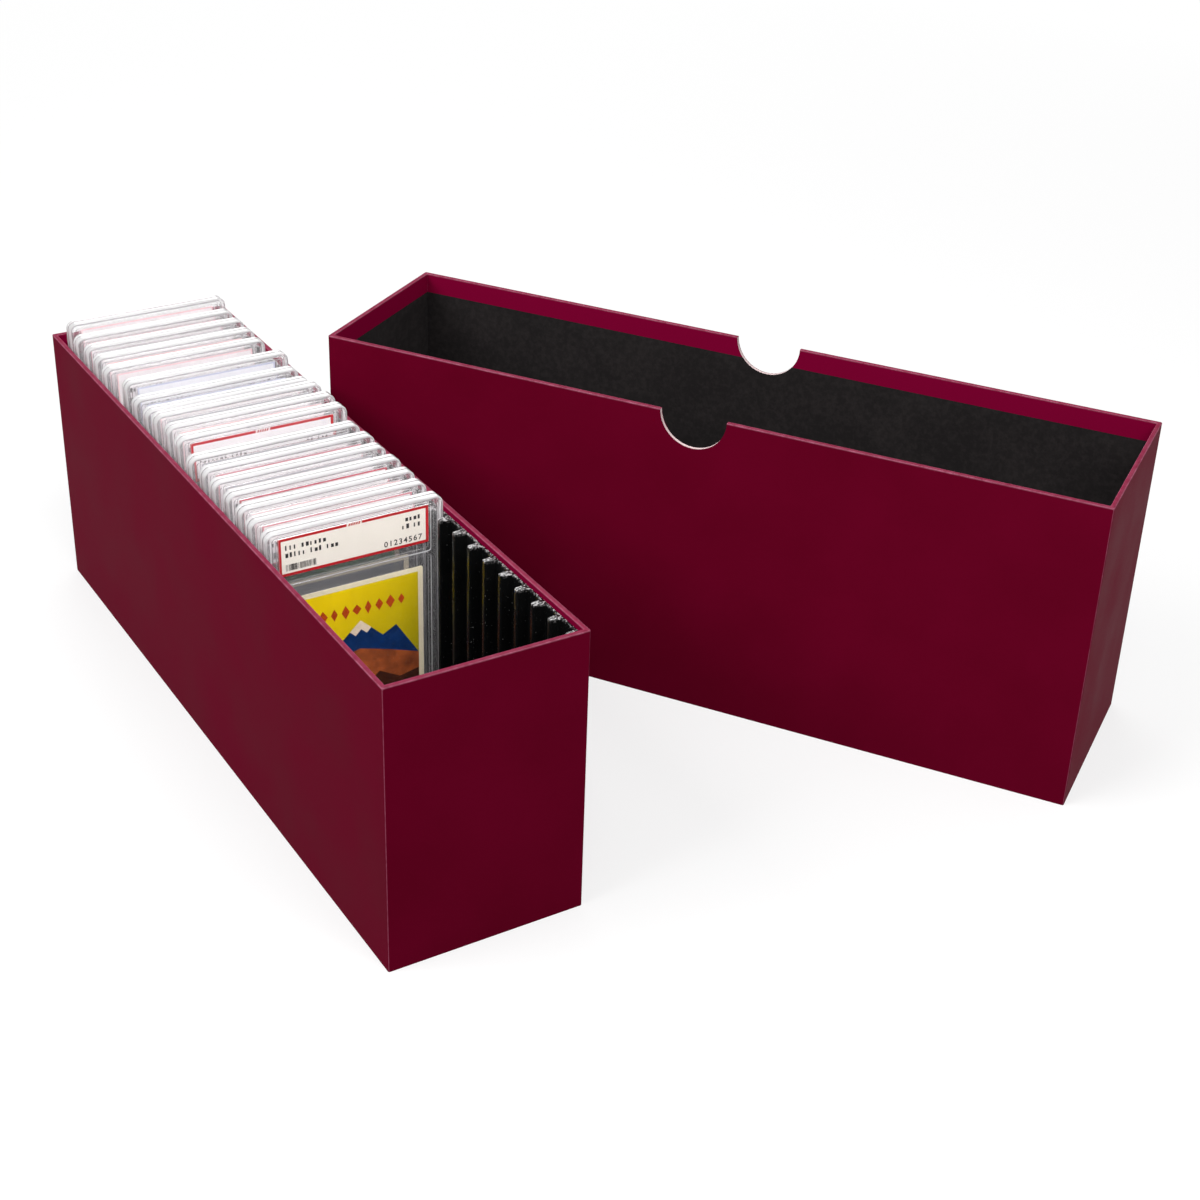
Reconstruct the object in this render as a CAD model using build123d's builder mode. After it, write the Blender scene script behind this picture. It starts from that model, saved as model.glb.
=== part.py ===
from build123d import *
import os

os.makedirs("parts", exist_ok=True)

# A rigid board case for graded card holders, with its lid off and standing upside down beside it.
# X runs across the case, Y runs along it from the free slots to the filled ones, and Z is up.
# The origin is the middle of the base's underside. All sizes are in millimetres.

# Graded card holder: two clear halves closed round a label and a card. A second kind is taller
tall_holder_extra = 3.0
holder_thickness = 6.35
holder_corner = 4.0
rail_width = 3.0
rail_recess = 0.6
rail_bevel = 0.7
seam_bevel = 0.3
seam_gap = 0.05
window_margin = 2.7
window_recess = 0.35
window_corner = 1.5
label_width = 69.5
label_height = 18.0
label_thickness = 0.35
label_drop = 4.3
label_side_margin = 6.25
label_corner = 0.3
label_window_head = 0.95
label_window_foot = 3.75
card_width = 63.5
card_height = 88.9
card_thickness = 0.45
label_to_card = 10.9
card_foot = 14.4
card_corner = 1.2
card_window_head = 5.6
card_window_foot = 3.5
pocket_gap = 0.12
pocket_corner = 0.5

# Wall make-up, the same in base and lid, from the outside in: paper, corner stay, board, paper
board_thickness = 1.5
paper_thickness = 0.25
stay_thickness = 0.15
stay_leg = 15.0
turn_in_depth = 10.0

# Pad that lies loose on the base's floor
pad_thickness = 2.8
pad_clearance = 0.4

# Slot racks: one moulding down each long wall, a thin web with ribs that part the slots
slot_count = 27
slot_clearance = 1.475
web_thickness = 0.8
web_end_margin = 0.85
rib_depth = 5.2
rib_root = 4.2
rib_nose = 2.6
rib_nose_radius = 0.9
rack_end_clearance = 0.4
right_rack_drop = 2.8
left_rack_drop = 9.6

# Base: as wide as a holder needs, as long as its slots, and a little lower than a standing holder
holder_side_clearance = 1.05
holder_rise = 6.8

# Which slots hold a card holder, counted from the front, which of those hold the taller kind, and
# where each holder stands in its slot: the shares of its clearance that it is pushed back, and to
# the right
filled_slots = (8, 9, 10, 11, 12, 13, 14, 15, 16, 17, 18, 19, 20, 22, 23, 24, 25, 26)
tall_slots = (15, 16, 17, 20, 26)
back_shares = (
    0.1, 0.5, -0.3, 0.1, 0.2, -0.2, -0.4, 0.8, 0.7,
    0.8, 0.7, 0.8, 0.9, 0.3, 0.8, 0.9, 0.9, -0.4,
)
side_shares = (
    0.3, -0.4, 0.2, 0.5, -0.2, 0.4, -0.5, 0.1, 0.4,
    -0.3, 0.2, -0.1, 0.5, -0.4, 0.1, 0.3, -0.2, 0.4,
)

# Lid: slides down over the base. Here it stands on its top, turned. Its back left corner, the
# nearest one, is a gap away from the base's right wall and some way behind the base's middle
lid_clearance = 1.5
lid_headroom = 8.9
notch_radius = 16.3
lid_turn = 34.1
lid_gap = 14.5
lid_corner_along = 85.8

# One overrun serves all cuts
overrun = 2.0

# Worked out from the sizes above
skin = paper_thickness + stay_thickness
wall_thickness = skin + board_thickness + paper_thickness
floor_thickness = paper_thickness + board_thickness + paper_thickness
stand_height = floor_thickness + pad_thickness
half_holder = holder_thickness / 2
holder_width = label_width + 2 * label_side_margin
card_drop = label_drop + label_height + label_to_card
holder_height = card_drop + card_height + card_foot
slot_pitch = rib_root + holder_thickness + 2 * slot_clearance
rack_length = slot_count * slot_pitch + rib_root + 2 * web_end_margin
inner_width = holder_width + 2 * (holder_side_clearance + web_thickness)
inner_length = rack_length + 2 * rack_end_clearance
base_width = inner_width + 2 * wall_thickness
base_length = inner_length + 2 * wall_thickness
base_height = stand_height + holder_height - holder_rise
lid_width = base_width + 2 * (lid_clearance + wall_thickness)
lid_length = base_length + 2 * (lid_clearance + wall_thickness)
lid_height = stand_height + holder_height + lid_headroom + floor_thickness
base_plane = Plane.XY
lid_corner = Plane((base_width / 2 + lid_gap, lid_corner_along, 0)).rotated((0, 0, lid_turn))
lid_middle = lid_corner.from_local_coords(Vector(lid_width / 2, -lid_length / 2, 0))
lid_plane = Plane(lid_middle).rotated((0, 0, lid_turn))


def finish(piece, node):
    """Labels one finished piece and writes it as its own STEP file."""
    piece.label = node
    export_step(piece, f"parts/{node}.step")


def notch_tool(tray, width, height):
    """The round bar whose lower half cuts a thumb notch in the middle of both long rims."""
    axis_plane = Plane(
        origin=tray.from_local_coords(Vector(0, 0, height)),
        x_dir=tray.y_dir,
        z_dir=tray.x_dir,
    )
    with BuildPart() as tool:
        with BuildSketch(axis_plane):
            Circle(notch_radius)
        extrude(amount=width / 2 + overrun, both=True)
    return tool.part


def build_boards(prefix, floor_name, tray, length, width, height, notch):
    """Five plain boards: a floor, two long walls and, between those, two end walls."""
    board_length = length - 2 * skin
    board_width = width - 2 * skin
    wall_foot = paper_thickness + board_thickness
    wall_rise = height - paper_thickness - wall_foot
    with BuildPart() as floor_board:
        with BuildSketch(tray.offset(paper_thickness)):
            Rectangle(board_width, board_length)
        extrude(amount=board_thickness)
    finish(floor_board.part, f"{prefix}_{floor_name}")

    across = (board_width - board_thickness) / 2
    for side, place in (("left", -across), ("right", across)):
        with BuildPart() as long_board:
            with BuildSketch(tray.offset(wall_foot)):
                with Locations((place, 0)):
                    Rectangle(board_thickness, board_length)
            extrude(amount=wall_rise)
            if notch is not None:
                add(notch, mode=Mode.SUBTRACT)
        finish(long_board.part, f"{prefix}_{side}_board")

    along = (board_length - board_thickness) / 2
    for end, place in (("front", -along), ("back", along)):
        with BuildPart() as end_board:
            with BuildSketch(tray.offset(wall_foot)):
                with Locations((0, place)):
                    Rectangle(board_width - 2 * board_thickness, board_thickness)
            extrude(amount=wall_rise)
        finish(end_board.part, f"{prefix}_{end}_board")


def build_stays(prefix, tray, length, width, height):
    """Four paper stays, each folded round an upright corner of the boards, under the covering."""
    with BuildPart() as corner_stays:
        with BuildSketch(tray.offset(paper_thickness)):
            Rectangle(width - 2 * paper_thickness, length - 2 * paper_thickness)
            Rectangle(width - 2 * skin, length - 2 * skin, mode=Mode.SUBTRACT)
            Rectangle(width, length - 2 * (skin + stay_leg), mode=Mode.SUBTRACT)
            Rectangle(width - 2 * (skin + stay_leg), length, mode=Mode.SUBTRACT)
        extrude(amount=height - 2 * paper_thickness)
    finish(corner_stays.part, f"{prefix}_corner_stays")


def build_papers(prefix, sheet_name, tray, length, width, height, notch):
    """Covering paper turned in over the rim, the sheet under it, and the black lining inside."""
    with BuildPart() as wrap:
        with BuildSketch(tray):
            Rectangle(width, length)
        extrude(amount=height)
        with BuildSketch(tray):
            Rectangle(width - 2 * paper_thickness, length - 2 * paper_thickness)
        extrude(amount=height - paper_thickness, mode=Mode.SUBTRACT)
        with BuildSketch(tray.offset(height - paper_thickness)):
            Rectangle(width - 2 * wall_thickness, length - 2 * wall_thickness)
        extrude(amount=paper_thickness, mode=Mode.SUBTRACT)
        with BuildSketch(tray.offset(height - turn_in_depth)):
            Rectangle(
                width - 2 * (wall_thickness - paper_thickness),
                length - 2 * (wall_thickness - paper_thickness),
            )
            Rectangle(width - 2 * wall_thickness, length - 2 * wall_thickness, mode=Mode.SUBTRACT)
        extrude(amount=turn_in_depth - paper_thickness)
        if notch is not None:
            add(notch, mode=Mode.SUBTRACT)
    finish(wrap.part, f"{prefix}_wrap")

    with BuildPart() as sheet:
        with BuildSketch(tray):
            Rectangle(width - 2 * paper_thickness, length - 2 * paper_thickness)
        extrude(amount=paper_thickness)
    finish(sheet.part, f"{prefix}_{sheet_name}")

    lining_outset = wall_thickness - paper_thickness
    lining_foot = paper_thickness + board_thickness
    with BuildPart() as lining:
        with BuildSketch(tray.offset(lining_foot)):
            Rectangle(width - 2 * lining_outset, length - 2 * lining_outset)
        extrude(amount=height - turn_in_depth - lining_foot)
        with BuildSketch(tray.offset(floor_thickness)):
            Rectangle(width - 2 * wall_thickness, length - 2 * wall_thickness)
        extrude(amount=height, mode=Mode.SUBTRACT)
        if notch is not None:
            add(notch, mode=Mode.SUBTRACT)
    finish(lining.part, f"{prefix}_lining")


def slot_rack(drop):
    """The right wall's slot rack: its web lies on the wall, its ribs reach in between the holders."""
    wall_face = inner_width / 2
    web_face = wall_face - web_thickness
    rib_tip = web_face - rib_depth
    rack_end = rack_length / 2
    outline = [(wall_face, rack_end), (wall_face, -rack_end), (web_face, -rack_end)]
    for n in range(slot_count + 1):
        rib_middle = (n - slot_count / 2) * slot_pitch
        outline += [
            (web_face, rib_middle - rib_root / 2),
            (rib_tip, rib_middle - rib_nose / 2),
            (rib_tip, rib_middle + rib_nose / 2),
            (web_face, rib_middle + rib_root / 2),
        ]
    outline.append((web_face, rack_end))
    with BuildPart() as rack:
        with BuildSketch(base_plane.offset(stand_height)):
            with BuildLine():
                Polyline(outline, close=True)
            make_face()
            fillet(vertices().group_by(Axis.X)[0], rib_nose_radius)
        extrude(amount=base_height - drop - stand_height)
    return rack.part


def holder_half(face, height):
    """One clear half, drawn on its outer face: rail, sunk windows, and pockets at the seam."""
    top = height / 2
    label_middle = top - label_drop - label_height / 2
    card_middle = top - card_drop - card_height / 2
    window_width = holder_width - 2 * (rail_width + window_margin)
    label_window_height = label_height + label_window_head + label_window_foot
    card_window_height = card_height + card_window_head + card_window_foot
    label_window_middle = label_middle + (label_window_head - label_window_foot) / 2
    card_window_middle = card_middle + (card_window_head - card_window_foot) / 2
    label_pocket_width = label_width + 2 * pocket_gap
    card_pocket_width = card_width + 2 * pocket_gap
    with BuildPart() as half:
        with BuildSketch(face):
            RectangleRounded(holder_width, height, holder_corner)
        extrude(amount=-(half_holder - seam_gap / 2))
        outward = Axis(face.origin, face.z_dir)
        chamfer(edges().group_by(outward)[-1], rail_bevel)
        chamfer(edges().group_by(outward)[0], seam_bevel)
        with BuildSketch(face):
            RectangleRounded(
                holder_width - 2 * rail_width,
                height - 2 * rail_width,
                holder_corner - rail_width / 2,
            )
        extrude(amount=-rail_recess, mode=Mode.SUBTRACT)
        with BuildSketch(face.offset(-rail_recess)):
            with Locations((0, label_window_middle)):
                RectangleRounded(window_width, label_window_height, window_corner)
            with Locations((0, card_window_middle)):
                RectangleRounded(window_width, card_window_height, window_corner)
        extrude(amount=-window_recess, mode=Mode.SUBTRACT)
        with BuildSketch(face.offset(-half_holder)):
            with Locations((0, label_middle)):
                RectangleRounded(label_pocket_width, label_height + 2 * pocket_gap, pocket_corner)
        extrude(amount=label_thickness / 2 + pocket_gap, mode=Mode.SUBTRACT)
        with BuildSketch(face.offset(-half_holder)):
            with Locations((0, card_middle)):
                RectangleRounded(card_pocket_width, card_height + 2 * pocket_gap, pocket_corner)
        extrude(amount=card_thickness / 2 + pocket_gap, mode=Mode.SUBTRACT)
    return half.part.solid()


def holder_insert(middle, top, width, height, thickness, corner):
    """A label or a card in the seam plane, its top edge that far above the holder's middle."""
    with BuildPart() as insert:
        with BuildSketch(middle):
            with Locations((0, top - height / 2)):
                RectangleRounded(width, height, corner)
        extrude(amount=thickness / 2, both=True)
    return insert.part.solid()


def holder_pieces(height):
    """One holder standing on the origin: its front half, rear half, label and card."""
    top = height / 2
    seam = Plane(origin=(0, 0, top), x_dir=(1, 0, 0), z_dir=(0, -1, 0))
    seam_from_behind = Plane(origin=(0, 0, top), x_dir=(-1, 0, 0), z_dir=(0, 1, 0))
    return (
        holder_half(seam.offset(half_holder), height),
        holder_half(seam_from_behind.offset(half_holder), height),
        holder_insert(seam, top - label_drop, label_width, label_height, label_thickness, label_corner),
        holder_insert(seam, top - card_drop, card_width, card_height, card_thickness, card_corner),
    )


# Base
build_boards("base", "floor_board", base_plane, base_length, base_width, base_height, None)
build_stays("base", base_plane, base_length, base_width, base_height)
build_papers("base", "bottom_sheet", base_plane, base_length, base_width, base_height, None)

with BuildPart() as base_floor_pad:
    with BuildSketch(base_plane.offset(floor_thickness)):
        Rectangle(inner_width - 2 * pad_clearance, inner_length - 2 * pad_clearance)
    extrude(amount=pad_thickness)
finish(base_floor_pad.part, "base_floor_pad")

# The right rack reaches nearly to the rim. The left one ends lower and is its mirror image
finish(slot_rack(right_rack_drop), "right_slot_rack")
with BuildPart() as left_slot_rack:
    add(slot_rack(left_rack_drop).mirror(Plane.YZ))
finish(left_slot_rack.part, "left_slot_rack")

# Card holders, the front one first: four nodes for the front one, which shows, and two for each other
standard_pieces = holder_pieces(holder_height)
tall_pieces = holder_pieces(holder_height + tall_holder_extra)
for index, slot in enumerate(filled_slots):
    across = side_shares[index] * holder_side_clearance
    along = (slot + 1 / 2 - slot_count / 2) * slot_pitch + back_shares[index] * slot_clearance
    place = Location((across, along, stand_height))
    pieces = tall_pieces if slot in tall_slots else standard_pieces
    front_half, rear_half, label, card = [piece.moved(place) for piece in pieces]
    node = f"holder_{index + 1:02d}"
    if index == 0:
        finish(front_half, f"{node}_front_half")
        finish(rear_half, f"{node}_rear_half")
        finish(label, f"{node}_label")
        finish(card, f"{node}_card")
    else:
        finish(Compound([front_half, rear_half]), f"{node}_halves")
        finish(Compound([label, card]), f"{node}_label_and_card")

# Lid
lid_notch = notch_tool(lid_plane, lid_width, lid_height)
build_boards("lid", "top_board", lid_plane, lid_length, lid_width, lid_height, lid_notch)
build_stays("lid", lid_plane, lid_length, lid_width, lid_height)
build_papers("lid", "top_sheet", lid_plane, lid_length, lid_width, lid_height, lid_notch)
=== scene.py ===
import math
import random

import bmesh
import bpy
from mathutils import Matrix, Vector


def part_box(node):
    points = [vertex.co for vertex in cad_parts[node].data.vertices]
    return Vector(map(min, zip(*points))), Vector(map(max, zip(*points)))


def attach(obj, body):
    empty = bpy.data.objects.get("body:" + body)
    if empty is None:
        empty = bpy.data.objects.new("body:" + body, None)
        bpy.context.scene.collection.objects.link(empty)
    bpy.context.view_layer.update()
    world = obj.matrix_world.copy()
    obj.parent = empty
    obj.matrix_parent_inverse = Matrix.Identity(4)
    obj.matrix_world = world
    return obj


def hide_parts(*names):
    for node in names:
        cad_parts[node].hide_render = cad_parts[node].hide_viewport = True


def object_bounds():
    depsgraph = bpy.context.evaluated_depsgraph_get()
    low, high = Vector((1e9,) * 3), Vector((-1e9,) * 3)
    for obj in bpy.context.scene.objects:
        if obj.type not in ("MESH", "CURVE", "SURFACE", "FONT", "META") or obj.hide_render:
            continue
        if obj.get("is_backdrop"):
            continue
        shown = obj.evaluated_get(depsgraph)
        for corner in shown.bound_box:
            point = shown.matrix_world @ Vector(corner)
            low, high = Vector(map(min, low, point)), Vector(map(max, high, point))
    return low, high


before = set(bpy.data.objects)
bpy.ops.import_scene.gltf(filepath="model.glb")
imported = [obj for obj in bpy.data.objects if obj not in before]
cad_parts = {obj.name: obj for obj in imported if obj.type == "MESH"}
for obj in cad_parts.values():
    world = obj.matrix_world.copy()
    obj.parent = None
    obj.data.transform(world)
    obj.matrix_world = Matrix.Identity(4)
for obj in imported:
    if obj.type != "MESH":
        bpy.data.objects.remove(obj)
cad_low, cad_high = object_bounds()

# Table and studio light. The case stands on a plain pale table. A wide softbox behind it lays its
# sheen on every level edge, others stand behind the viewer, on the left and overhead, and the room
# fills the rest. The table and the room are white where they are seen and dimmer as light.
white = (1, 1, 1, 1)
light_bounces = 24
room_fill = 0.35
table_reach = 4.0
table_white = 0.8
table_dim = 0.22
table_glow = 0.6
table_fade_start = 0.5
table_fade_end = 1.5

scene = bpy.context.scene
scene.view_settings.view_transform = "Standard"
scene.cycles.max_bounces = light_bounces
scene.cycles.transmission_bounces = light_bounces
scene.cycles.transparent_max_bounces = light_bounces


def wire(node, inputs):
    """Fills a node's sockets with plain values, or wires other nodes' outputs to them."""
    for key, value in inputs.items():
        if isinstance(value, bpy.types.NodeSocket):
            node.id_data.links.new(value, node.inputs[key])
        else:
            node.inputs[key].default_value = value


def add_node(tree, kind, inputs=None, **settings):
    """A node with its settings made and its sockets filled or wired."""
    made = tree.nodes.new(kind)
    for key, value in settings.items():
        setattr(made, key, value)
    wire(made, inputs or {})
    return made


def reckon(operation, *values):
    """The result of one sum on a socket and other sockets or numbers, in the socket's tree."""
    tree = values[0].id_data
    return add_node(tree, "ShaderNodeMath", dict(enumerate(values)), operation=operation).outputs[0]


def between(value, low, high, to_low=0.0, to_high=1.0):
    """The value's way from low to high, as a number from to_low to to_high."""
    ends = {"Value": value, "From Min": low, "From Max": high, "To Min": to_low, "To Max": to_high}
    return add_node(value.id_data, "ShaderNodeMapRange", ends).outputs["Result"]


def show_mixed(share, first, second):
    """Shows a surface's first shader where the share is 0 and its second where it is 1."""
    shaders = {"Fac": share, 1: first.outputs[0], 2: second.outputs[0]}
    mixed = add_node(share.id_data, "ShaderNodeMixShader", shaders).outputs[0]
    wire(share.id_data.nodes["Material Output"], {"Surface": mixed})


def new_finish(name, roughness=None, specular=None):
    """An empty procedural finish, with its shine: the material, its tree and its shader."""
    finish = bpy.data.materials.new(name)
    finish.use_nodes = True
    shader = finish.node_tree.nodes["Principled BSDF"]
    if roughness is not None:
        shader.inputs["Roughness"].default_value = roughness
    if specular is not None:
        shader.inputs["Specular IOR Level"].default_value = specular
    return finish, finish.node_tree, shader


def set_out(name, data):
    """Puts a mesh, a lamp, a lens or a text into the scene as an object."""
    thing = bpy.data.objects.new(name, data)
    scene.collection.objects.link(thing)
    return thing


def seen_share(tree):
    """1 where a ray comes from the eye, a reflection or a clear piece, 0 where it carries light."""
    ray = add_node(tree, "ShaderNodeLightPath").outputs
    eye_or_gloss = reckon("MAXIMUM", ray["Is Camera Ray"], ray["Is Glossy Ray"])
    return reckon("MAXIMUM", eye_or_gloss, ray["Is Transmission Ray"])


room = bpy.data.worlds.new("room")
room.use_nodes = True
scene.world = room
room_strength = between(seen_share(room.node_tree), 0, 1, room_fill, 1)
wire(room.node_tree.nodes["Background"], {"Color": white, "Strength": room_strength})

table_finish, table_tree, table_shader = new_finish("pale_table", roughness=0.9, specular=0.0)
table_seen = seen_share(table_tree)
wire(table_shader, {"Base Color": between(table_seen, 0, 1, table_dim, table_white)})
table_lift = add_node(table_tree, "ShaderNodeEmission", {"Color": white, "Strength": 1.0})
table_place = add_node(table_tree, "ShaderNodeTexCoord").outputs["Object"]
table_way_out = add_node(table_tree, "ShaderNodeVectorMath", {0: table_place}, operation="LENGTH")
table_fade = between(table_way_out.outputs["Value"], table_fade_start, table_fade_end, table_glow, 1)
show_mixed(reckon("MULTIPLY", table_seen, table_fade), table_shader, table_lift)
table_mesh = bpy.data.meshes.new("table_top")
table_corners = [(x * table_reach, y * table_reach, 0) for x, y in ((-1, -1), (1, -1), (1, 1), (-1, 1))]
table_mesh.from_pydata(table_corners, [], [(0, 1, 2, 3)])
table_mesh.materials.append(table_finish)
set_out("table_top", table_mesh)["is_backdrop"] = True

case_middle = (cad_low + cad_high) / 2


def softbox(name, heading, rise, distance, across, up, power):
    """A softbox that looks at the case from a heading (0 is behind the case, as +Y) and a rise."""
    light = bpy.data.lights.new(name, "AREA")
    light.shape = "RECTANGLE"
    light.size = across
    light.size_y = up
    light.energy = power
    turn = math.radians(heading)
    lift = math.radians(rise)
    away = Vector((math.sin(turn) * math.cos(lift), math.cos(turn) * math.cos(lift), math.sin(lift)))
    box = set_out(name, light)
    box.location = case_middle + distance * away
    box.rotation_mode = "QUATERNION"
    box.rotation_quaternion = away.to_track_quat("Z", "Y")


softbox("back_softbox", heading=24, rise=31, distance=1.9, across=1.4, up=0.8, power=10.5)
softbox("key_softbox", heading=-173, rise=52, distance=1.8, across=1.2, up=1.0, power=25)
softbox("left_softbox", heading=-87, rise=40, distance=1.8, across=1.2, up=1.0, power=23.5)
softbox("top_softbox", heading=0, rise=88, distance=1.7, across=1.6, up=1.6, power=4)

# Camera. A long lens stands at the photograph's place, left of the case's front end and above it,
# and looks down on it. Its place and turns were fitted to measured points of the photograph.
eye = Vector((-0.32415, -0.78205, 0.55056))
eye_heading = -32.09
eye_tilt = 60.09
eye_roll = 2.06
film_width = 36
focal_length = 62.88
lens = bpy.data.cameras.new("camera")
lens.sensor_width = film_width
lens.lens = focal_length
camera = set_out("camera", lens)
camera.location = eye
camera_turn = (
    Matrix.Rotation(math.radians(eye_heading), 4, "Z")
    @ Matrix.Rotation(math.radians(eye_tilt), 4, "X")
    @ Matrix.Rotation(math.radians(eye_roll), 4, "Z")
)
camera.rotation_euler = camera_turn.to_euler()
scene.camera = camera

# Boards. Grey rigid board, 1.5 mm thick, cut and glued into a tray for the base and another for
# the lid. The paper hides it, except where the lid's thumb notches were cut right through the
# wall: there the raw edge shows, in its pale pressed layers.
mm = 0.001
lid_low, lid_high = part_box("lid_wrap")
lid_middle = (lid_low + lid_high) / 2
lid_turn = math.radians(34.1)
board_pale = (0.72, 0.58, 0.58, 1)
board_deep = (0.54, 0.41, 0.41, 1)
board_layer = 0.35 * mm
wave_radians = 20
board_grain = 0.12 * mm


def piece_coordinates(tree, run=(1, 1, 1)):
    """Object coordinates turned to the lid's walls, so that a grain runs along them. The run
    stretches the grain."""
    place = add_node(tree, "ShaderNodeTexCoord").outputs["Object"]
    lid_stand = {"Location": (lid_middle.x, lid_middle.y, 0), "Rotation": (0, 0, lid_turn), "Scale": run}
    turned = add_node(tree, "ShaderNodeMapping", {"Vector": place, **lid_stand}, vector_type="TEXTURE")
    return turned.outputs["Vector"]


def speckle(place, cells, detail=2.0, roughness=0.5):
    """Fractal noise from 0 to 1 with so many cells to the metre."""
    noise = {"Vector": place, "Scale": cells, "Detail": detail, "Roughness": roughness}
    return add_node(place.id_data, "ShaderNodeTexNoise", noise).outputs["Fac"]


def blend_colours(share, first, second):
    """The first colour where the share is 0 and the second where it is 1."""
    colours = {0: share, 6: first, 7: second}
    return add_node(share.id_data, "ShaderNodeMix", colours, data_type="RGBA").outputs[2]


def tint(shader, share, first, second):
    """Colours a surface with the first colour where the share is 0 and the second where it is 1."""
    wire(shader, {"Base Color": blend_colours(share, first, second)})


def raise_grain(shader, height, depth, strength=1.0):
    """Puts the height, times a depth in metres, on a surface as bump."""
    bump = {"Height": height, "Distance": depth, "Strength": strength}
    wire(shader, {"Normal": add_node(shader.id_data, "ShaderNodeBump", bump).outputs["Normal"]})


def dress(finish, *nodes):
    """Gives each CAD node that stays in view its finish."""
    for node in nodes:
        for material_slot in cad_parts[node].material_slots:
            material_slot.material = finish


board_finish, board_tree, board_shader = new_finish("raw_grey_board", roughness=0.9, specular=0.15)
board_layers = add_node(
    board_tree,
    "ShaderNodeTexWave",
    {
        "Vector": piece_coordinates(board_tree),
        "Scale": 2 * math.pi / board_layer / wave_radians,
        "Distortion": 2.5,
        "Detail": 3,
        "Detail Scale": 4,
    },
    bands_direction="X",
)
board_fibre = speckle(piece_coordinates(board_tree, (0.3, 1, 1)), 1800, 4)
board_shade = reckon("MULTIPLY", board_layers.outputs["Fac"], board_fibre)
tint(board_shader, between(board_shade, 0.05, 0.6), board_deep, board_pale)
raise_grain(board_shader, board_fibre, board_grain)
for tray in ("base", "lid"):
    dress(board_finish, *[f"{tray}_{side}_board" for side in ("left", "right", "front", "back")])
dress(board_finish, "base_floor_board", "lid_top_board")

# Corner stays. Brown kraft paper tape, folded and glued round each upright corner of the boards to
# hold the walls together before the tray is covered. The covering paper hides them.
kraft_deep = (0.36, 0.25, 0.14, 1)
kraft_pale = (0.53, 0.4, 0.26, 1)
kraft_grain = 0.03 * mm


def fibre_finish(name, deep, pale, place_run, cells, detail, rough, grain, **shine):
    """Paper or card whose fibres are paler and stand up a little."""
    finish, tree, shader = new_finish(name, **shine)
    fibre = speckle(piece_coordinates(tree, place_run), cells, detail, rough)
    tint(shader, fibre, deep, pale)
    raise_grain(shader, fibre, grain)
    return finish


stay_finish = fibre_finish(
    "kraft_stay_tape", kraft_deep, kraft_pale, (1, 1, 0.25), 1400, 3, 0.5, kraft_grain, roughness=0.85
)
dress(stay_finish, "base_corner_stays", "lid_corner_stays")

# Covering paper. One sheet of smooth burgundy paper glued round each tray's walls, folded over the
# rim and turned in 10 mm down the inside. It is stretched thin along the rim and the corners, where
# it shows lighter from wear and from a painted sheen, its turned-in band is painted lighter as painted
# light for the inside of the tray, and it is cut through with the board at the lid's thumb notches.
paper = 0.25 * mm
wall = 2.15 * mm
turn_in = 10 * mm
rim_round = 0.38 * mm
rim_round_inside = 0.3 * mm
rim_steps = 4
corner_round = 0.8 * mm
corner_steps = 6
foot_round = 0.06 * mm
# The rim's rounded edges, its flat top a little less, and the upright corners carry wear and a painted
# sheen.
rim_flat_wear_and_sheen = 0.72
rim_wear_and_sheen_reach = 1.2 * mm
turn_in_wear = 0.3
corner_wear_and_sheen_reach = 0.6 * mm
lid_width = 97.3 * mm
lid_length = 382.8 * mm
notch_radius = 16.3 * mm
notch_reach = 1.2 * lid_width
notch_segments = 96
burgundy = (0.121, 0.0011, 0.0146, 1)
burgundy_deep = (0.107, 0.0009, 0.0122, 1)
# The turned-in band is the same paper, painted lighter as painted light for the inside of the tray.
burgundy_painted_lighter_inside = (0.178, 0.001, 0.026, 1)
# The rubbed colour is partly wear and partly a painted sheen on the rim and the upright corners.
burgundy_worn_and_sheen = (0.3, 0.085, 0.135, 1)
paper_grain = 0.012 * mm


def rounded_loop(width, length, radius, guard):
    """A rectangle with rounded corners, walked once round, with guard points beside each corner.
    Each point is x, y and its wear and painted sheen, 1 in a corner's middle and 0 where the corner ends."""
    loop = []
    for quarter, (sx, sy) in enumerate(((1, 1), (-1, 1), (-1, -1), (1, -1))):
        centre = Vector((sx * (width / 2 - radius), sy * (length / 2 - radius)))
        start = quarter * math.pi / 2
        first = Vector((math.cos(start), math.sin(start)))
        last = Vector((math.cos(start + math.pi / 2), math.sin(start + math.pi / 2)))
        loop.append((*(centre + radius * first - guard * last), 0.0))
        for step in range(corner_steps + 1):
            angle = start + math.pi / 2 * step / corner_steps
            wear_and_sheen = 1 - abs(2 * step / corner_steps - 1)
            loop.append((centre.x + radius * math.cos(angle), centre.y + radius * math.sin(angle), wear_and_sheen))
        loop.append((*(centre + radius * last - guard * first), 0.0))
    return loop


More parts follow.
